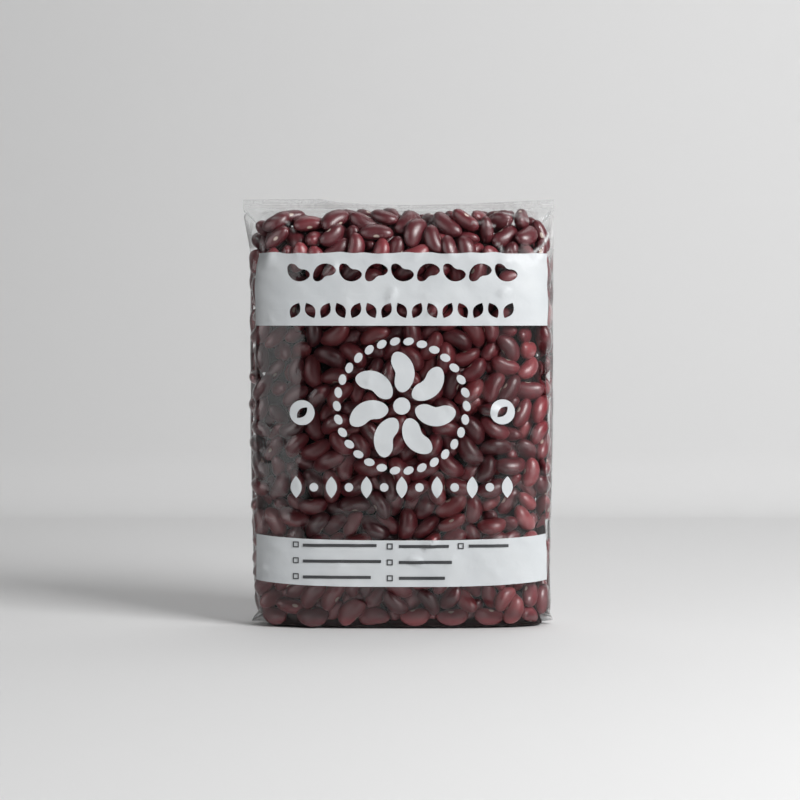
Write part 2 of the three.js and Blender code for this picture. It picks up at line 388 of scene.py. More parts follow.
# How far a place is past the bag's wall drawn in by some inset, and the way back, for many places
def past_wall(places, inset):
    def excess(p):
        side_air = np.where(p[:, 0] < 0, *SIDE_AIR)
        width = np.maximum(half_width(p[:, 2]) - side_air - inset, 0.5)
        depth = np.maximum(half_depth(p[:, 2]) - inset, 0.5)
        share = (np.abs(p[:, 0]) / width) ** SECTION_POWER + (np.abs(p[:, 1]) / depth) ** SECTION_POWER
        return share ** (1 / SECTION_POWER) - 1

    here = excess(places)
    slope = np.empty_like(places)
    step = 0.05
    for axis in range(3):
        moved = places.copy()
        moved[:, axis] += step
        slope[:, axis] = (excess(moved) - here) / step
    steepness = np.maximum(np.linalg.norm(slope, axis=1), 1e-4)
    return here / steepness, slope / steepness[:, None]


# Beans packed in the bag

# Pairs of places nearer than a reach, found by sorting them into cells of that size
def near_pairs(places, reach):
    centre, span = 64, 512
    cells = np.floor(places / reach).astype(np.int64) + centre
    keys = (cells[:, 0] * span + cells[:, 1]) * span + cells[:, 2]
    order = np.argsort(keys, kind="stable")
    ordered = keys[order]
    first, second = [], []
    for dx, dy, dz in itertools.product((-1, 0, 1), repeat=3):
        wanted = keys + (dx * span + dy) * span + dz
        start = np.searchsorted(ordered, wanted, side="left")
        counts = np.searchsorted(ordered, wanted, side="right") - start
        here = np.repeat(np.arange(len(places)), counts)
        offsets = np.arange(counts.sum()) - np.repeat(np.cumsum(counts) - counts, counts)
        there = order[np.repeat(start, counts) + offsets]
        keep = here < there
        first.append(here[keep])
        second.append(there[keep])
    first, second = np.concatenate(first), np.concatenate(second)
    near = np.linalg.norm(places[first] - places[second], axis=1) < reach
    return first[near], second[near]


# Evenly spread places in the bag, each shaken a little
def shaken_places(random):
    spans = (BODY_HALF_WIDTH, BODY_HALF_DEPTH, BODY_TOP / 2)
    counts = [int(2 * span / BEAN_SPACING) for span in spans]
    steps = [(np.arange(n) - (n - 1) / 2) * 2 * span / n for n, span in zip(counts, spans)]
    places = np.stack(np.meshgrid(*steps, indexing="ij"), axis=-1).reshape(-1, 3)
    places[:, 2] += BODY_TOP / 2
    places += random.uniform(-FIRST_SHAKE, FIRST_SHAKE, places.shape) * BEAN_SPACING
    past, _ = past_wall(places, np.full(len(places), FIRST_INSET))
    return places[past < 0]


# How far each ball is pushed by the balls that it overlaps
def ball_pushes(balls, radius, pairs):
    a, b = pairs
    gap = balls[b] - balls[a]
    distance = np.maximum(np.linalg.norm(gap, axis=1), 1e-3)
    overlap = np.maximum(radius[a] + radius[b] - distance, 0)
    push = gap * (PUSH_SHARE * overlap / distance)[:, None]
    moves = np.zeros_like(balls)
    for axis in range(3):
        moves[:, axis] += np.bincount(b, weights=push[:, axis], minlength=len(balls))
        moves[:, axis] -= np.bincount(a, weights=push[:, axis], minlength=len(balls))
    return moves


# Balls moved back inside the bag's walls and between its floor and the heap's top
def kept_inside(balls, radius):
    past, out = past_wall(balls, radius - WALL_PRESS)
    balls = balls - out * np.maximum(past, 0)[:, None] * WALL_PUSH
    ceiling = BODY_TOP + TOP_PRESS - heap_drop(balls[:, 0])
    balls[:, 2] = np.clip(balls[:, 2], radius + FLOOR_GAP, ceiling - radius)
    return balls


# Headings of the beans next to a wall, turned a little to lie along it
def laid_flat(middle, heading):
    past, out = past_wall(middle, np.zeros(len(middle)))
    tipped = (heading * out).sum(axis=1) * (past > -WALL_LAYER) * LAID_FLAT
    return unit(heading - out * tipped[:, None])


# Beans swell among each other until they fill the bag: their middles, headings and sizes
def packed_beans():
    random = fresh_random(BEAN_SEED)
    middle = shaken_places(random)
    count = len(middle)
    size = 1 + random.uniform(-SIZE_SPREAD, SIZE_SPREAD, count)
    heading = unit(random.normal(size=(count, 3)))
    shares = np.array([-1.0, 0.0, 1.0])
    owner = np.repeat(np.arange(count), 3)
    full = np.tile([END_BALL, MIDDLE_BALL, END_BALL], count) * size[owner]
    steps = PACK_STEPS
    for step in range(steps):
        grown = min(1.0, FIRST_SIZE + LATER_SIZE * step / (GROWING_SHARE * steps))
        radius = full * grown
        offsets = heading[:, None, :] * (shares[:, None] * END_BALL_PLACE) * size[:, None, None]
        balls = (middle[:, None, :] + offsets).reshape(-1, 3)
        if step % STEPS_PER_SEARCH == 0:
            a, b = near_pairs(balls, 2 * MIDDLE_BALL * (1 + SIZE_SPREAD) + SEARCH_ROOM)
            apart = owner[a] != owner[b]
            pairs = (a[apart], b[apart])
        balls = kept_inside(balls + ball_pushes(balls, radius, pairs), radius)
        three = balls.reshape(count, 3, 3)
        middle = three.mean(axis=1)
        heading = laid_flat(middle, unit(three[:, 2] - three[:, 0]))
    return middle, heading, size


# Mesh and object helpers

# Moves a piece's points aside with the bag's walls
def set_aside(piece):
    vertices = piece.data.vertices
    points = np.empty(len(vertices) * 3, dtype=np.float32)
    vertices.foreach_get("co", points)
    points = points.reshape(-1, 3)
    points[:, 0] += offset_at(points[:, 2] * METRE) / METRE
    vertices.foreach_set("co", points.ravel())
    piece.data.update()


def new_object(name, mesh):
    piece = bpy.data.objects.new(name, mesh)
    bpy.context.scene.collection.objects.link(piece)
    return piece


def mesh_object(name, points, faces, material=None):
    mesh = bpy.data.meshes.new(name)
    mesh.from_pydata((np.asarray(points) / METRE).tolist(), [], faces)
    mesh.shade_smooth()
    mesh.update()
    if material is not None:
        mesh.materials.append(material)
    return new_object(name, mesh)


# Keeps numbers, or places, as a named attribute of a mesh's points
def store(mesh, name, values):
    values = np.asarray(values, dtype=np.float32)
    kind, key = ("FLOAT", "value") if values.ndim == 1 else ("FLOAT_VECTOR", "vector")
    mesh.attributes.new(name, kind, "POINT").data.foreach_set(key, values.ravel())


def applied(piece):
    graph = bpy.context.evaluated_depsgraph_get()
    mesh = bpy.data.meshes.new_from_object(piece.evaluated_get(graph))
    piece.modifiers.clear()
    piece.data = mesh
    return piece


# Faces between the rows and columns of a grid of point numbers; corners that fall together are dropped
def grid_faces(numbers, closed_around):
    rows, columns = numbers.shape
    faces = []
    for row in range(rows - 1):
        for column in range(columns if closed_around else columns - 1):
            after = (column + 1) % columns
            low, high = numbers[row], numbers[row + 1]
            four = [int(low[column]), int(low[after]), int(high[after]), int(high[column])]
            face = [number for i, number in enumerate(four) if number != four[i - 1]]
            if len(face) >= 3:
                faces.append(face)
    return faces


# Materials

class Nodes:
    """A material's node tree, built from short calls."""

    def __init__(self, name):
        self.material = bpy.data.materials.new(name)
        self.material.use_nodes = True
        self.tree = self.material.node_tree
        self.tree.nodes.clear()
        self.objects = self.add("TexCoord").outputs["Object"]

    def put(self, socket, value):
        if isinstance(value, bpy.types.NodeSocket):
            self.tree.links.new(value, socket)
        else:
            socket.default_value = value

    def add(self, kind, settings=None, **inputs):
        node = self.tree.nodes.new("ShaderNode" + kind)
        for name, value in (settings or {}).items():
            setattr(node, name, value)
        for name, value in inputs.items():
            self.put(node.inputs[name.replace("_", " ")], value)
        return node

    def attribute(self, name, output="Fac"):
        return self.add("Attribute", {"attribute_name": name}).outputs[output]

    def noise(self, **inputs):
        return self.add("TexNoise", **{"Vector": self.objects, **inputs}).outputs["Fac"]

    def bump(self, height, strength, distance):
        return self.add("Bump", Height=height, Strength=strength, Distance=distance).outputs["Normal"]

    def result(self, kind, values, settings=None):
        node = self.add(kind, settings)
        for socket, value in zip(node.inputs, values):
            self.put(socket, value)
        return node.outputs[0]

    def math(self, operation, *values, clamp=False):
        return self.result("Math", values, {"operation": operation, "use_clamp": clamp})

    def ramp(self, factor, stops):
        node = self.add("ValToRGB", Fac=factor)
        ends = node.color_ramp.elements
        while len(ends) < len(stops):
            ends.new(0.5)
        for end, (place, colour) in zip(ends, stops):
            end.position = place
            end.color = (*colour, 1.0)
        return node.outputs["Color"]

    def mixed(self, *values):
        return self.result("MixShader", values)

    def finish(self, surface):
        self.add("OutputMaterial", Surface=surface)
        return self.material


def bean_skin():
    n = Nodes("bean_skin")
    mottle = n.noise(Scale=420.0, Detail=3.0, Roughness=0.6)
    cloud = n.noise(Scale=90.0, Detail=1.0)
    uneven = n.math("SUBTRACT", n.math("ADD", mottle, cloud), 1.0)
    shade = n.math("ADD", n.attribute("tone_and_top_shade"), n.math("MULTIPLY", uneven, 0.5), clamp=True)
    parts = n.add("SeparateXYZ", Vector=n.attribute("bean_place", "Vector")).outputs
    along = n.math("POWER", n.math("DIVIDE", parts["X"], SCAR_HALF_LENGTH), 2.0)
    beside = n.math("POWER", n.math("DIVIDE", parts["Z"], SCAR_HALF_WIDTH), 2.0)
    on_edge = n.math("GREATER_THAN", parts["Y"], 0.3)
    ring = n.math("ADD", along, beside)
    scar = n.math("MULTIPLY", n.math("SUBTRACT", 1.5, ring, clamp=True), on_edge)
    colour = n.add("Mix", {"data_type": "RGBA"}, Factor=scar)
    n.put(colour.inputs[6], n.ramp(shade, BEAN_TONES))
    n.put(colour.inputs[7], (*SCAR_COLOUR, 1.0))
    bump = n.bump(mottle, 0.12, 0.0004)
    skin = n.add("BsdfPrincipled", Base_Color=colour.outputs[2], Roughness=0.38, Normal=bump,
                 Specular_IOR_Level=0.8, Coat_Weight=0.12, Coat_Roughness=0.24)
    return n.finish(skin.outputs[0])


def core_painted_shade():
    n = Nodes("core_painted_shade")
    cloud = n.noise(Scale=120.0, Detail=2.0)
    # Near-black colour: painted shade standing in for the shaded beans hidden in the heap
    colour = n.ramp(cloud, [(0.3, (0.006, 0.002, 0.002)), (0.7, (0.02, 0.006, 0.006))])
    return n.finish(n.add("BsdfPrincipled", Base_Color=colour, Roughness=0.9).outputs[0])


# Clear film: mostly see-through, glossy at a slant by the attribute sheen, milky by the attribute haze
def clear_film():
    n = Nodes("clear_film")
    stretched = n.add("Mapping", Vector=n.objects, Scale=(1.0, 1.0, 0.45)).outputs["Vector"]
    creases = n.noise(Vector=stretched, Scale=75.0, Detail=3.0, Roughness=0.55, Distortion=1.0)
    bump = n.bump(creases, 0.25, 0.0008)
    patches = n.math("MULTIPLY", n.math("SUBTRACT", creases, 0.2, clamp=True), 3.3)
    slant = n.add("Fresnel", IOR=FILM_IOR, Normal=bump).outputs[0]
    gloss = n.math("MULTIPLY", slant, n.math("MULTIPLY", n.attribute("sheen"), FILM_GLOSS), clamp=True)
    clear = n.add("BsdfTransparent", Color=(0.965, 0.97, 0.97, 1.0)).outputs[0]
    milky = n.add("BsdfDiffuse", Color=(0.69, 0.69, 0.69, 1.0)).outputs[0]
    shine = n.add("BsdfGlossy", Color=(1.0, 1.0, 1.0, 1.0), Roughness=0.08, Normal=bump).outputs[0]
    body = n.mixed(n.math("MULTIPLY", n.attribute("haze"), patches, clamp=True), clear, milky)
    return n.finish(n.mixed(gloss, body, shine))


def print_ink(name, stops, roughness):
    n = Nodes(name)
    cloud = n.noise(Scale=60.0, Detail=3.0)
    creases = n.noise(Scale=110.0, Detail=4.0, Distortion=1.0)
    bump = n.bump(creases, 0.25, 0.0008)
    ink = n.add("BsdfPrincipled", Base_Color=n.ramp(cloud, stops), Roughness=roughness, Normal=bump,
                Coat_Weight=0.05, Coat_Roughness=0.2)
    return n.finish(ink.outputs[0])


# Beans

# A kidney bean along X in millimetres, its ends bent towards +Y, with each point's share of its size
def bean_template(name, rings, sides):
    points, places = [], []
    for ring in range(1, rings):
        along = -math.cos(math.pi * ring / rings)
        swell = math.sqrt(1 - abs(along) ** BEAN_BLUNTNESS)
        for side in range(sides):
            angle = 2 * math.pi * side / sides
            edge = math.cos(angle) * swell
            flat = math.sin(angle) * swell
            notch = BEAN_NOTCH * max(edge, 0) * math.exp(-(along / NOTCH_WIDTH) ** 2)
            points.append((along * BEAN_LENGTH / 2,
                           edge * BEAN_WIDTH / 2 - notch + BEAN_BEND * (along ** 2 - BEND_MIDDLE),
                           flat * BEAN_THICKNESS / 2))
            places.append((along, edge, flat))
    start = len(points)
    for along in (-1, 1):
        points.append((along * BEAN_LENGTH / 2, BEAN_BEND * (1 - BEND_MIDDLE), 0))
        places.append((along, 0, 0))
    faces = []
    for ring in range(rings - 2):
        for side in range(sides):
            after = (side + 1) % sides
            low, high = ring * sides, (ring + 1) * sides
            faces.append((low + side, high + side, high + after, low + after))
    last = (rings - 2) * sides
    for side in range(sides):
        after = (side + 1) % sides
        faces.append((start, side, after))
        faces.append((start + 1, last + after, last + side))
    template = mesh_object(name, points, faces)
    store(template.data, "bean_place", places)
    return template


# Turns as Euler angles for beans from their headings and the ways that their flat sides face
def bean_turns(heading, facing):
    across = unit(np.cross(facing, heading))
    flat = np.cross(heading, across)
    x = np.arctan2(across[:, 2], flat[:, 2])
    y = np.arcsin(np.clip(-heading[:, 2], -1, 1))
    z = np.arctan2(heading[:, 1], heading[:, 0])
    return np.column_stack([x, y, z])


# Geometry nodes that put a bean on each point of a mesh, by the point's turn and size
def bean_tree():
    tree = bpy.data.node_groups.new("Beans on points", "GeometryNodeTree")
    for name, kind in (("Points", "Geometry"), ("Bean", "Object"), ("Skin", "Material")):
        tree.interface.new_socket(name, in_out="INPUT", socket_type="NodeSocket" + kind)
    tree.interface.new_socket("Beans", in_out="OUTPUT", socket_type="NodeSocketGeometry")

    def point_attribute(name, kind):
        made = tree.nodes.new("GeometryNodeInputNamedAttribute")
        made.data_type = kind
        made.inputs["Name"].default_value = name
        return made

    given = tree.nodes.new("NodeGroupInput")
    result = tree.nodes.new("NodeGroupOutput")
    turn = point_attribute("turn", "FLOAT_VECTOR")
    size = point_attribute("size", "FLOAT")
    rotation = tree.nodes.new("FunctionNodeEulerToRotation")
    source = tree.nodes.new("GeometryNodeObjectInfo")
    place = tree.nodes.new("GeometryNodeInstanceOnPoints")
    real = tree.nodes.new("GeometryNodeRealizeInstances")
    paint = tree.nodes.new("GeometryNodeSetMaterial")
    for first, out, second, into in (
            (given, "Points", place, "Points"), (given, "Bean", source, "Object"),
            (source, "Geometry", place, "Instance"), (turn, "Attribute", rotation, "Euler"),
            (rotation, "Rotation", place, "Rotation"), (size, "Attribute", place, "Scale"),
            (place, "Instances", real, "Geometry"), (real, "Geometry", paint, "Geometry"),
            (given, "Skin", paint, "Material"), (paint, "Geometry", result, "Beans")):
        tree.links.new(first.outputs[out], second.inputs[into])
    return tree


def beans_on_points(tree, name, chosen, template, skin):
    points = mesh_object(name, chosen["middle"], [])
    for key in ("turn", "size", "tone_and_top_shade"):
        store(points.data, key, chosen[key])
    modifier = points.modifiers.new("beans", "NODES")
    modifier.node_group = tree
    sockets = {s.name: s.identifier for s in tree.interface.items_tree if s.in_out == "INPUT"}
    modifier[sockets["Bean"]] = template
    modifier[sockets["Skin"]] = skin
    return applied(points)


def joined(pieces, name):
    with bpy.context.temp_override(active_object=pieces[0], selected_editable_objects=pieces):
        bpy.ops.object.join()
    pieces[0].name = name
    pieces[0].data.name = name
    return pieces[0]


# Beans near the film in full shape, those behind them plainer, and none in the hidden middle
def loose_beans():
    middle, heading, size = packed_beans()
    random = fresh_random(BEAN_SEED + 1)
    past, out = past_wall(middle, np.zeros(len(middle)))
    below_top = BODY_TOP - heap_drop(middle[:, 0]) - middle[:, 2]
    depth = np.minimum(-past, below_top)
    facing = out + random.normal(scale=BEAN_TUMBLE, size=out.shape)
    facing *= random.choice([-1.0, 1.0], len(facing))[:, None]
    heading = heading * random.choice([-1.0, 1.0], len(heading))[:, None]
    # Random tone, with painted shade darkening the beans above the shoulder
    tone_and_top_shade = random.normal(TONE_MIDDLE, TONE_SPREAD, len(middle)) - TOP_PAINTED_SHADE * (middle[:, 2] > SHOULDER)
    turn = bean_turns(heading, facing)
    beans = {"middle": middle, "turn": turn, "size": size, "tone_and_top_shade": np.clip(tone_and_top_shade, 0, 1)}
    tree = bean_tree()
    skin = bean_skin()
    pieces = []
    for name, rings, sides, nearest, farthest in LAYERS:
        keep = (depth >= nearest) & (depth < farthest)
        chosen = {key: values[keep] for key, values in beans.items()}
        template = bean_template(name + "_template", rings, sides)
        pieces.append(beans_on_points(tree, name, chosen, template, skin))
        bpy.data.objects.remove(template)
    return joined(pieces, "beans")


# The middle of the heap as a near-black shell of painted shade, drawn in from the wall but less so at the
# foot, where it paints the shade under the bag
def heap_core():
    across, along = unit_section(np.linspace(0, 2 * np.pi, CORE_COLUMNS, endpoint=False))
    heights = np.linspace(CORE_FOOT, BODY_TOP - CORE_TOP_INSET, CORE_ROWS - 1)
    insets = np.interp(heights, (CORE_FOOT, FOOT_HEIGHT, SHOULDER, BODY_TOP),
                       (CORE_FOOT_INSET, CORE_INSET, CORE_INSET, CORE_UPPER_INSET))
    rings = []
    for z, inset in [CORE_SOLE, *zip(heights, insets)]:
        width = max(half_width(z) - inset * CORE_SIDE_SHARE, 1)
        depth = max(half_depth(z) - inset, 1)
        rings.append(np.column_stack([width * across, depth * along, np.full(CORE_COLUMNS, z)]))
    points = np.concatenate(rings)
    points[:, 2] -= heap_drop(points[:, 0]) * gable_rise(points[:, 2]) * CORE_TOP_FALL
    numbers = np.arange(len(points)).reshape(CORE_ROWS, CORE_COLUMNS)
    faces = grid_faces(numbers, True)
    faces.append([int(n) for n in numbers[0, ::-1]])
    faces.append([int(n) for n in numbers[-1]])
    return mesh_object("heap_core", points, faces, core_painted_shade())


# The film

# Each column's share of the half width, its side (-1 at the front, 1 at the back), and the girth
def film_columns():
    fine = np.linspace(-np.pi / 2, 1.5 * np.pi, GIRTH_POINTS)
    across, along = unit_section(fine)
    steps = np.hypot(np.diff(across) * BODY_HALF_WIDTH, np.diff(along) * BODY_HALF_DEPTH)
    run = np.concatenate([[0], np.cumsum(steps)])
    angles = np.interp(np.arange(QUARTER + 1) * run[-1] / COLUMNS, run, fine)
    front = np.abs(unit_section(angles)[0])
    front[0], front[-1] = 0.0, 1.0
    right = np.concatenate([front, front[-2::-1]])
    share = np.concatenate([right, -right[1:-1]])
    number = np.arange(COLUMNS)
    side = np.where((number > QUARTER) & (number < 3 * QUARTER), 1.0, -1.0)
    side[[QUARTER, 3 * QUARTER]] = 0
    return share, side, run[-1]


# The film's half width: the body's, and above the shoulder straight out to the seal's
def film_half_width(z):
    shoulder = half_width(SHOULDER) + FILM_ROOM
    corner = shoulder + (SEAL_HALF_WIDTH - shoulder) * gable_rise(z)
    return np.where(z > SHOULDER, corner, half_width(z) + FILM_ROOM)


# The filled body's own half depth at a place across it
def body_depth(x, z):
    share = np.clip(np.abs(x) / (half_width(z) + FILM_ROOM), 0, 1)
    return (half_depth(z) + FILM_ROOM) * (1 - share ** SECTION_POWER) ** (1 / SECTION_POWER)


def seal_edge(x):
    return SEAL_TOP - np.interp(x / SEAL_HALF_WIDTH, *zip(*SEAL_EDGE))


# From 0 away from the seal's welds up to 1 on them
def weld_share(z, half_height):
    return sum(np.exp(-((z - BODY_TOP - height) / half_height) ** 2) for height in WELD_HEIGHTS)


# Rows of the smooth film: under the bag, up its walls and gable, and up its seal
def sole_rows(share, side):
    x = share * film_half_width(0.0)
    y = side * body_depth(x, 0.0)
    level = np.full(COLUMNS, FILM_FLOOR)
    return [np.column_stack([x, y * part / BASE_ROWS, level]) for part in range(BASE_ROWS)]


def wall_rows(share, side, heights):
    rows = []
    for z in heights:
        full = half_depth(z) - RIDGE_HALF_DEPTH * (1 - shoulder_share(z)) + FILM_ROOM
        depth = full * (1 - np.abs(share) ** SECTION_POWER) ** (1 / SECTION_POWER)
        y = side * np.maximum(depth, THIN_HALF)
        rows.append(np.column_stack([share * film_half_width(z), y, np.full(COLUMNS, z)]))
    return rows


def seal_rows(share, side):
    x = share * SEAL_HALF_WIDTH
    low = BODY_TOP + 1.0
    rows = []
    for part in np.linspace(0, 1, SEAL_ROWS):
        z = low + (seal_edge(x) - low) * part
        y = side * (THIN_HALF + WELD_RIDGE * weld_share(z, WELD_HALF_HEIGHT))
        rows.append(np.column_stack([x, y, z]))
    return rows


# The film drawn smooth over the body, as rows of points from the foot's middle line to the seal's edge
def smooth_film():
    share, side, girth = film_columns()
    walls = np.linspace(FILM_FLOOR + 0.3, SHOULDER, WALL_ROWS)
    turn = np.linspace(0, np.pi / 2, GABLE_ROWS + 1)[1:]
    heights = np.concatenate([walls, SHOULDER + (BODY_TOP - SHOULDER) * np.sin(turn)])
    base = np.array(sole_rows(share, side) + wall_rows(share, side, heights) + seal_rows(share, side))
    sway = sum(part * np.sin(base[:, :, 0] / length + start) for part, length, start in SWAYS)
    base[:, :, 1] += SEAL_SWAY * sway * rising(base[:, :, 2], BODY_TOP - SWAY_HEIGHT, SEAL_TOP)
    return base, share, heights, girth


def film_normals(grid):
    along = np.roll(grid, -1, axis=1) - np.roll(grid, 1, axis=1)
    return unit(np.cross(along, np.gradient(grid, axis=0)))


# How deep below the smooth film the first bean lies at each point, or else the film's other side
def bean_depths(base, normal, beans):
    graph = bpy.context.evaluated_depsgraph_get()
    tree = BVHTree.FromObject(beans, graph)
    slant = np.maximum(np.abs(normal[:, :, 1]), 0.05)
    depth = np.clip(np.abs(base[:, :, 1]) / slant - THIN_HALF, 0, DEEPEST_DENT)
    start = (base + normal * RAY_START) / METRE
    for row in range(BASE_ROWS + 1, base.shape[0] - SEAL_ROWS):
        for column in range(COLUMNS):
            inwards = Vector(-normal[row, column])
            hit = tree.ray_cast(Vector(start[row, column]), inwards, RAY_LENGTH / METRE)
            if hit[0] is not None:
                depth[row, column] = min(hit[3] * METRE - RAY_START, depth[row, column])
    return depth


# Slack in the film: low waves that run in many directions, stronger in the loose top corners
def slack_waves(base):
    random = fresh_random(BEAN_SEED + 9)
    x, y, z = np.moveaxis(base, 2, 0)
    around = np.where(np.abs(y) > 0.5 * BODY_HALF_DEPTH, x, x + y)
    waves = np.zeros(x.shape)
    for length in WAVE_LENGTHS:
        angle = random.uniform(0, np.pi)
        bend = WAVE_BEND * np.sin(z / BEND_LENGTHS[0] + random.uniform(0, PHASES))
        bend += WAVE_BEND * np.sin(x / BEND_LENGTHS[1] + random.uniform(0, PHASES))
        phase = (around * np.cos(angle) + z * np.sin(angle)) * 2 * np.pi / length + bend
        waves += np.sin(phase + random.uniform(0, PHASES)) * length / max(WAVE_LENGTHS)
    corner = rising(z, *CORNER_RISE) * rising(np.abs(x) / BODY_HALF_WIDTH, *CORNER_SHARES)
    strength = WALL_WAVE + (CORNER_WAVE - WALL_WAVE) * corner
    fade = rising(z, *WAVE_FOOT) * (1 - rising(z, *WAVE_TOP))
    folds = np.abs(np.sin(x / 5.3 + z / 8.1 + 2 * np.sin(z / 13.0))) + np.abs(np.sin(z / 4.7 - x / 9.0))
    return (waves / len(WAVE_LENGTHS) * strength + folds * CORNER_FOLDS * corner) * fade


# How much the film is stretched flat: on its front and back, more so towards their sides
def taut_share(x, z):
    taut = np.interp(np.abs(x), TAUT_PLACES, TAUT_SHARES)
    return taut * (1 - rising(z, *TAUT_END)) * (1 - side_share(x, z))


# From 0 on the film's front and back up to 1 at its narrow sides
def side_share(x, z):
    return rising(np.abs(x), *SIDE_START) * (z < SHOULDER)


# The film settles inwards between the beans that hold it up
def settled(depth, held, suction):
    dent = np.zeros_like(depth)
    limit = depth - FILM_CLEARANCE
    for _ in range(FILM_ROUNDS):
        above = np.vstack([dent[1:], dent[-1:]])
        below = np.vstack([dent[:1], dent[:-1]])
        mean = (np.roll(dent, 1, axis=1) + np.roll(dent, -1, axis=1) + above + below) / 4
        dent = np.where(held, 0.0, np.minimum(limit, mean + suction))
    return dent


# The film on the beans, as a grid of points, and where its front and back lie close together
def film_grid(beans):
    base, share, heights, girth = smooth_film()
    x, _, z = np.moveaxis(base, 2, 0)
    normal = film_normals(base)
    depth = bean_depths(base, normal, beans)
    held = (z > SEAL_FOOT) | (z < SOLE_TOP)
    suction = FILM_SUCTION + SIDE_SUCTION * side_share(x, z) + GABLE_SUCTION * rising(z, *GABLE_START)
    dent = settled(depth, held, suction) * (1 - taut_share(x, z)) + slack_waves(base)
    grid = base - normal * np.minimum(dent, depth - FILM_CLEARANCE)[:, :, None]
    bare = (z > SHOULDER) & (body_depth(grid[:, :, 0], np.minimum(z, BODY_TOP)) < BARE_DEPTH)
    return grid, share, heights, girth, bare


# Milkiness along the creases on the front, partly the folds' own and partly painted glints
def crease_milk_and_glints(x, y, z):
    haze = np.zeros(x.shape)
    for (x0, z0), (x1, z1), strength in CREASES:
        length = math.hypot(x1 - x0, z1 - z0)
        along = ((x - x0) * (x1 - x0) + (z - z0) * (z1 - z0)) / length ** 2
        beside = ((x - x0) * (z1 - z0) - (z - z0) * (x1 - x0)) / length
        bowed = beside + CREASE_BOW * 4 * along * (1 - along)
        on_crease = (y < 0) & (along > 0) & (along < 1)
        haze += strength * np.exp(-(bowed / CREASE_HALF_WIDTH) ** 2) * on_crease
    return haze


# Milkiness of the seam up the back
def lap_haze(x, y, z):
    off_lap = np.abs(x) - LAP_HALF_WIDTH
    lap = LAP_HAZE * (off_lap < 0) + LAP_EDGE_HAZE * np.exp(-(off_lap / LAP_EDGE_WIDTH) ** 2)
    return lap * ((y > 0) & (z < BODY_TOP))


def film_haze(grid, bare):
    x, y, z = np.moveaxis(grid, 2, 0)
    haze = np.where(bare, CORNER_HAZE, CLEAR_HAZE)
    on_edge = rising(np.abs(x) - film_half_width(z), *EDGE_START)
    haze += EDGE_HAZE * on_edge * ((z > GABLE_START[0]) & (z < BODY_TOP))
    haze += np.where(x < 0, *SIDE_HAZE) * side_share(x, z) + crease_milk_and_glints(x, y, z)
    haze = np.where(z > SEAL_FOOT, SEAL_HAZE, haze)
    return haze + lap_haze(x, y, z) + (WELD_HAZE - SEAL_HAZE) * weld_share(z, WELD_HAZE_HEIGHT)


def film_piece(grid, haze, material):
    rows, columns = grid.shape[:2]
    numbers = np.arange(rows * columns).reshape(rows, columns)
    mirror = (columns // 2 - np.arange(columns)) % columns
    for row in (0, rows - 1):
        numbers[row] = np.minimum(numbers[row], numbers[row][mirror])
    used, packed = np.unique(numbers, return_inverse=True)
    points = grid.reshape(-1, 3)[used].copy()
    film = mesh_object("film", points, grid_faces(packed.reshape(rows, columns), True), material)
    store(film.data, "haze", haze.reshape(-1)[used])
    # Gloss cut at the foot: painted shade under the bag
    store(film.data, "sheen", np.interp(points[:, 2], *SHEEN_WITH_FOOT_SHADE))
    return film


# A thin closed slab of film from a grid of points along its middle
def film_slab(name, grid, half, haze, material):
    rows, columns = grid.shape[:2]
    normal = unit(np.cross(np.gradient(grid, axis=1), np.gradient(grid, axis=0)))
    points = np.concatenate([grid + normal * half, grid - normal * half]).reshape(-1, 3)
    apart = rows * columns
    near = np.arange(apart).reshape(rows, columns)
    faces = grid_faces(near, False) + [face[::-1] for face in grid_faces(near + apart, False)]
    rim = np.concatenate([near[0, :-1], near[:-1, -1], near[-1, :0:-1], near[:0:-1, 0]])
    for here, there in zip(rim, np.roll(rim, -1)):
        faces.append([int(there), int(here), int(here + apart), int(there + apart)])
    slab = mesh_object(name, points, faces, material)
    store(slab.data, "haze", np.full(len(points), haze))
    store(slab.data, "sheen", np.ones(len(points)))
    return slab


# A folded corner of film at the foot, as a grid of points from its root out to its tip
def ear_grid(side, reach, root_height, tip_height, random):
    out = np.linspace(0, 1, EAR_COLUMNS)[None, :]
    up = np.linspace(0, 1, EAR_ROWS)[:, None]
    x = side * (EAR_ROOT + (reach - EAR_SLANT * up - EAR_ROOT) * out)
    low = FILM_FLOOR + EAR_GAP + out * EAR_TIP_RISE
    high = root_height + (tip_height - root_height) * out ** EAR_CURVE
    folds = sum(np.sin(up * turns + random.uniform(0, PHASES)) for turns in EAR_FOLDS)
    return np.stack([x, EAR_FRONT + EAR_CRUMPLE * folds * out, low + (high - low) * up], axis=2)


# Folded corners of film that stick out at the foot, and the folded seal under the bag
def foot_film(material):
    random = fresh_random(BEAN_SEED + 5)
    pieces = [film_slab("ear", ear_grid(*ear, random), EAR_HALF, EAR_HAZE, material) for ear in EARS]
    along = np.linspace(-STRIP_HALF_LENGTH, STRIP_HALF_LENGTH, 30)
    x, y = np.meshgrid(along, np.linspace(*STRIP_Y, 4))
    strip = np.stack([x, y, np.full(x.shape, STRIP_HEIGHT)], axis=2)
    pieces.append(film_slab("strip", strip, STRIP_HALF, SEAL_HAZE, material))
    return joined(pieces, "foot_film")


# The print

# Places on the front as seen, turned into distance around the girth from its middle, and height
def around_front(places, share, girth):
    x, z = places.T
    runs = np.arange(QUARTER + 1) * girth / COLUMNS
    part = np.clip(np.abs(x) / film_half_width(z), 0, 1)
    return np.column_stack([np.sign(x) * np.interp(part, share[:QUARTER + 1], runs), z])


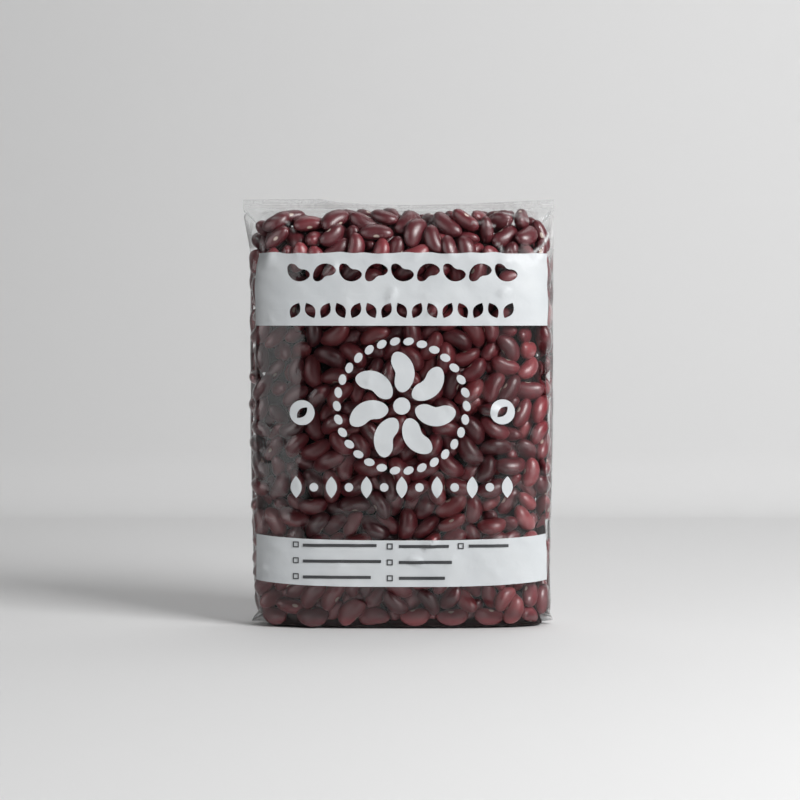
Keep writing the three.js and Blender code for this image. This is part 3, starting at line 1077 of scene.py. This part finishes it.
# Points of the film at such places, lifted off it a little
def on_film(places, grid, heights, girth, lift):
    normal = film_normals(grid)
    column = (places[:, 0] / girth * COLUMNS) % COLUMNS
    row = BASE_ROWS + np.interp(places[:, 1], heights, np.arange(len(heights)))
    left, low = np.floor(column).astype(int), np.floor(row).astype(int)
    right, high = (left + 1) % COLUMNS, low + 1
    left = left % COLUMNS
    across, up = (column - np.floor(column))[:, None], (row - low)[:, None]

    def blended(field):
        lower = field[low, left] * (1 - across) + field[low, right] * across
        upper = field[high, left] * (1 - across) + field[high, right] * across
        return lower * (1 - up) + upper * up

    return blended(grid) + blended(normal) * lift


def inside(places, outlines):
    crossings = np.zeros(len(places), dtype=int)
    for outline in outlines:
        for start, end in zip(outline, np.roll(outline, -1, axis=0)):
            between = (start[1] > places[:, 1]) != (end[1] > places[:, 1])
            if between.any():
                part = (places[between, 1] - start[1]) / (end[1] - start[1])
                crossings[between] += places[between, 0] < start[0] + part * (end[0] - start[0])
    return crossings % 2 == 1


# Triangles filling an outline, less the holes in it, with points inside so that it can follow the film
def filled(outlines):
    edge = np.concatenate(outlines)
    low, high = edge.min(axis=0) + PRINT_MARGIN, edge.max(axis=0)
    x, z = np.meshgrid(*(np.arange(low[axis], high[axis], PRINT_SPACING) for axis in (0, 1)))
    inner = np.column_stack([x.ravel(), z.ravel()])
    gap = np.array([np.min(np.abs(edge - place).sum(axis=1)) for place in inner])
    places = np.concatenate([edge, inner[gap > PRINT_ROOM]])
    edges, start = [], 0
    for outline in outlines:
        count = len(outline)
        edges += [(start + i, start + (i + 1) % count) for i in range(count)]
        start += count
    result = delaunay_2d_cdt([Vector(p) for p in places], edges, [], 0, 1e-4)
    points = np.array([tuple(p) for p in result[0]])
    faces = np.array([face[:] for face in result[2]])
    keep = inside(points[faces].mean(axis=1), outlines)
    return points, faces[keep]


def dense(outline):
    points = []
    for start, end in zip(outline, np.roll(outline, -1, axis=0)):
        count = max(1, int(np.ceil(np.linalg.norm(end - start) / PRINT_SPACING)))
        points += [start + (end - start) * i / count for i in range(count)]
    return np.array(points)


def turned(outline, angle, middle):
    c, s = math.cos(angle), math.sin(angle)
    return outline @ np.array([[c, s], [-s, c]]) + np.array(middle)


def oval(length, width, sides):
    angle = np.linspace(0, 2 * np.pi, sides, endpoint=False)
    return np.column_stack([np.cos(angle) * length / 2, np.sin(angle) * width / 2])


def kidney(length, width, bend, sides):
    shape = oval(length, width, sides)
    share = shape[:, 0] / (length / 2)
    notch = 0.16 * width * np.exp(-(share / 0.34) ** 2) * (shape[:, 1] > 0)
    shape[:, 1] += bend * (share ** 2 - 0.4) * 2 - notch
    return shape


# A pointed leaf along X from end to end
def leaf(length, width, sides=12):
    along = np.linspace(-1, 1, sides + 1)
    edge = width / 2 * (1 - along ** 2)
    lower = np.column_stack([along * length / 2, -edge])
    upper = np.column_stack([along[::-1] * length / 2, edge[::-1]])
    return np.concatenate([lower[:-1], upper[:-1]])


def bar(length, width):
    half = width / 2
    return dense(np.array([[0, -half], [length, -half], [length, half], [0, half]]))


def row_places(row):
    return [(x, row["height"]) for x in np.linspace(-row["half_row"], row["half_row"], row["count"])]


def band_outline(low, high, ends, lift, wave):
    shares = np.linspace(-1, 1, BAND_POINTS)
    raise_ends = lift * np.abs(shares) ** 3
    ripple = wave * sum(part * np.sin(shares * turns + start) for part, turns, start in RIPPLES)
    lower = np.column_stack([shares * ends[0] * film_half_width(low), low + raise_ends])
    upper = np.column_stack([shares * ends[1] * film_half_width(high), high + raise_ends + ripple])
    side = np.linspace(0, 1, int((high - low) / PRINT_SPACING) + 1)[1:-1, None]
    right = lower[-1] + (upper[-1] - lower[-1]) * side
    left = upper[0] + (lower[0] - upper[0]) * side
    return np.concatenate([lower, right, upper[::-1], left])


# A row of one shape, turned one way and the other by turns
def turned_row(row, shape, turns):
    return [turned(shape, turns[number % 2], place) for number, place in enumerate(row_places(row))]


# The upper band's outline and its windows
def upper_band():
    bean = kidney(*BEAN_WINDOWS["size"], BEAN_WINDOW_BEND, 26)
    bean_tilt, leaf_tilt = BEAN_WINDOWS["tilt"], LEAF_WINDOWS["tilt"]
    leaf_window = leaf(*LEAF_WINDOWS["size"])
    return [band_outline(*UPPER_BAND, UPPER_ENDS, 0.0, UPPER_WAVE),
            *turned_row(BEAN_WINDOWS, bean, (-bean_tilt, math.pi + bean_tilt)),
            *turned_row(LEAF_WINDOWS, leaf_window, (math.pi / 2 - leaf_tilt, math.pi / 2 + leaf_tilt))]


# A ring of one shape round the emblem's middle
def emblem_ring(ring, shape, start):
    shapes = []
    for angle in start + 2 * np.pi * np.arange(ring["count"]) / ring["count"]:
        place = np.array([math.cos(angle), math.sin(angle)]) * ring["out"] + EMBLEM_MIDDLE
        shapes.append([turned(shape, angle + ring["tilt"], place)])
    return shapes


# Each shape as its outline and then its holes, seen from the front
def white_shapes():
    shapes = [upper_band(), [band_outline(*LOWER_BAND, LOWER_ENDS, LOWER_LIFT, 0.0)]]
    bead = turned(oval(*BEADS["size"], 14), math.pi / 2, (0, 0))
    shapes += emblem_ring(BEADS, bead, 0.0)
    shapes += emblem_ring(PETALS, kidney(*PETALS["size"], PETAL_BEND, 40), math.pi / 2)
    shapes.append([oval(HUB_SIZE, HUB_SIZE, 28) + EMBLEM_MIDDLE])
    for place in DISCS:
        hole = turned(leaf(*DISC_LEAF), DISC_LEAF_TURN, place)
        shapes.append([oval(DISC_SIZE, DISC_SIZE, 34) + place, hole])
    for number, place in enumerate(row_places(LOZENGES)):
        if number % 2:
            shapes.append([oval(DOT_SIZE, DOT_SIZE, 16) + place])
        else:
            shapes.append([turned(leaf(*LOZENGES["size"]), math.pi / 2, place)])
    return shapes


# Boxes with a bar beside each
def dark_shapes():
    shapes = []
    square = BOX_SIZE / 2 * np.array([[-1, -1], [1, -1], [1, 1], [-1, 1]])
    hole = square * (1 - 2 * BOX_LINE / BOX_SIZE)
    for box_x, bar_x, bar_length, rows in LIST_COLUMNS:
        rise = LOWER_LIFT * abs(box_x / BODY_HALF_WIDTH) ** 3
        for z, share in LIST_ROWS[:rows]:
            place = (box_x, z + rise)
            shapes.append([square + place, hole + place])
            shapes.append([bar(bar_length * share, BAR_WIDTH) + (bar_x, z + rise * BAR_RISE)])
    return shapes


def print_piece(name, shapes, film, lift, material):
    grid, share, heights, girth = film
    points, faces, count = [], [], 0
    for outlines in shapes:
        places, triangles = filled([around_front(outline, share, girth) for outline in outlines])
        points.append(on_film(places, grid, heights, girth, lift))
        faces.append(triangles + count)
        count += len(places)
    return mesh_object(name, np.concatenate(points), np.concatenate(faces).tolist(), material)


# The view

# Paper that is lighter on the wall, with painted shade on the floor near and behind the camera, standing in
# for an unlit room
def backdrop_paper():
    n = Nodes("backdrop_paper")
    place = n.add("SeparateXYZ", Vector=n.objects).outputs
    on_wall = n.math("DIVIDE", place["Z"], COVE_RADIUS, clamp=True)
    past_dark = n.math("ADD", place["Y"], -DARK_ROOM_FROM)
    lit = n.math("DIVIDE", past_dark, LIT_FLOOR_FROM - DARK_ROOM_FROM, clamp=True)
    part = n.math("MULTIPLY", n.math("ADD", 1.0, on_wall), n.math("MULTIPLY", lit, 0.5))
    paper = n.ramp(part, [(0.0, ROOM_SHADE_COLOUR), (0.5, FLOOR_COLOUR), (1.0, WALL_COLOUR)])
    return n.finish(n.add("BsdfPrincipled", Base_Color=paper, Roughness=0.85).outputs[0])


def backdrop():
    turn = np.linspace(0, math.pi / 2, 9)
    cove_y = WALL_DISTANCE - COVE_RADIUS * (1 - np.sin(turn))
    cove_z = COVE_RADIUS * (1 - np.cos(turn))
    profile = [(STAGE_FRONT, 0.0), *zip(cove_y, cove_z), (WALL_DISTANCE, WALL_HEIGHT)]
    points = [(side * STAGE_HALF_WIDTH, y, z) for y, z in profile for side in (-1, 1)]
    faces = [(2 * i, 2 * i + 1, 2 * i + 3, 2 * i + 2) for i in range(len(profile) - 1)]
    mesh_object("backdrop", np.array(points) * METRE, faces, backdrop_paper())


def area_light(name, spec):
    data = bpy.data.lights.new(name, "AREA")
    data.shape = "SQUARE"
    data.size = spec["size"]
    data.energy = spec["power"]
    light = new_object(name, data)
    light.location = spec["place"]
    towards = Vector(LIGHT_TARGET) - light.location
    light.rotation_euler = towards.to_track_quat("-Z", "Y").to_euler()
    return light


def camera_and_light():
    data = bpy.data.cameras.new("camera")
    data.lens = CAMERA_LENS
    camera = new_object("camera", data)
    camera.location = CAMERA_PLACE
    camera.rotation_euler = (math.radians(90 - CAMERA_PITCH), 0, 0)
    scene = bpy.context.scene
    scene.camera = camera
    scene.view_settings.view_transform = "Standard"
    world = bpy.data.worlds.new("studio")
    world.use_nodes = True
    world.node_tree.nodes["Background"].inputs["Color"].default_value = (WORLD_GREY,) * 3 + (1.0,)
    world.cycles_visibility.glossy = False
    scene.world = world
    area_light("key_light", KEY_LIGHT)
    area_light("top_light", TOP_LIGHT)
    for name, panel in (("left_panel", LEFT_PANEL), ("right_panel", RIGHT_PANEL)):
        area_light(name, panel).visible_diffuse = False


beans = loose_beans()
core = heap_core()
film_material = clear_film()
grid, share, heights, girth, bare = film_grid(beans)
drawn = (grid, share, heights, girth)
film = film_piece(grid, film_haze(grid, bare), film_material)
ears = foot_film(film_material)
white_ink = print_ink("white_ink", [(0.3, (0.526, 0.549, 0.566)), (0.7, (0.574, 0.595, 0.608))], 0.5)
dark_ink = print_ink("dark_ink", [(0.3, (0.03, 0.032, 0.035)), (0.7, (0.05, 0.052, 0.056))], 0.4)
white = print_piece("white_print", white_shapes(), drawn, WHITE_LIFT, white_ink)
dark = print_piece("dark_print", dark_shapes(), drawn, DARK_LIFT, dark_ink)

for piece, slot in ((beans, "dried_beans"), (core, "dried_beans"), (film, "film"), (ears, "film"),
                    (white, "white_print"), (dark, "dark_print")):
    set_aside(piece)
    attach(piece, "root")
    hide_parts(NODE)

backdrop()
camera_and_light()
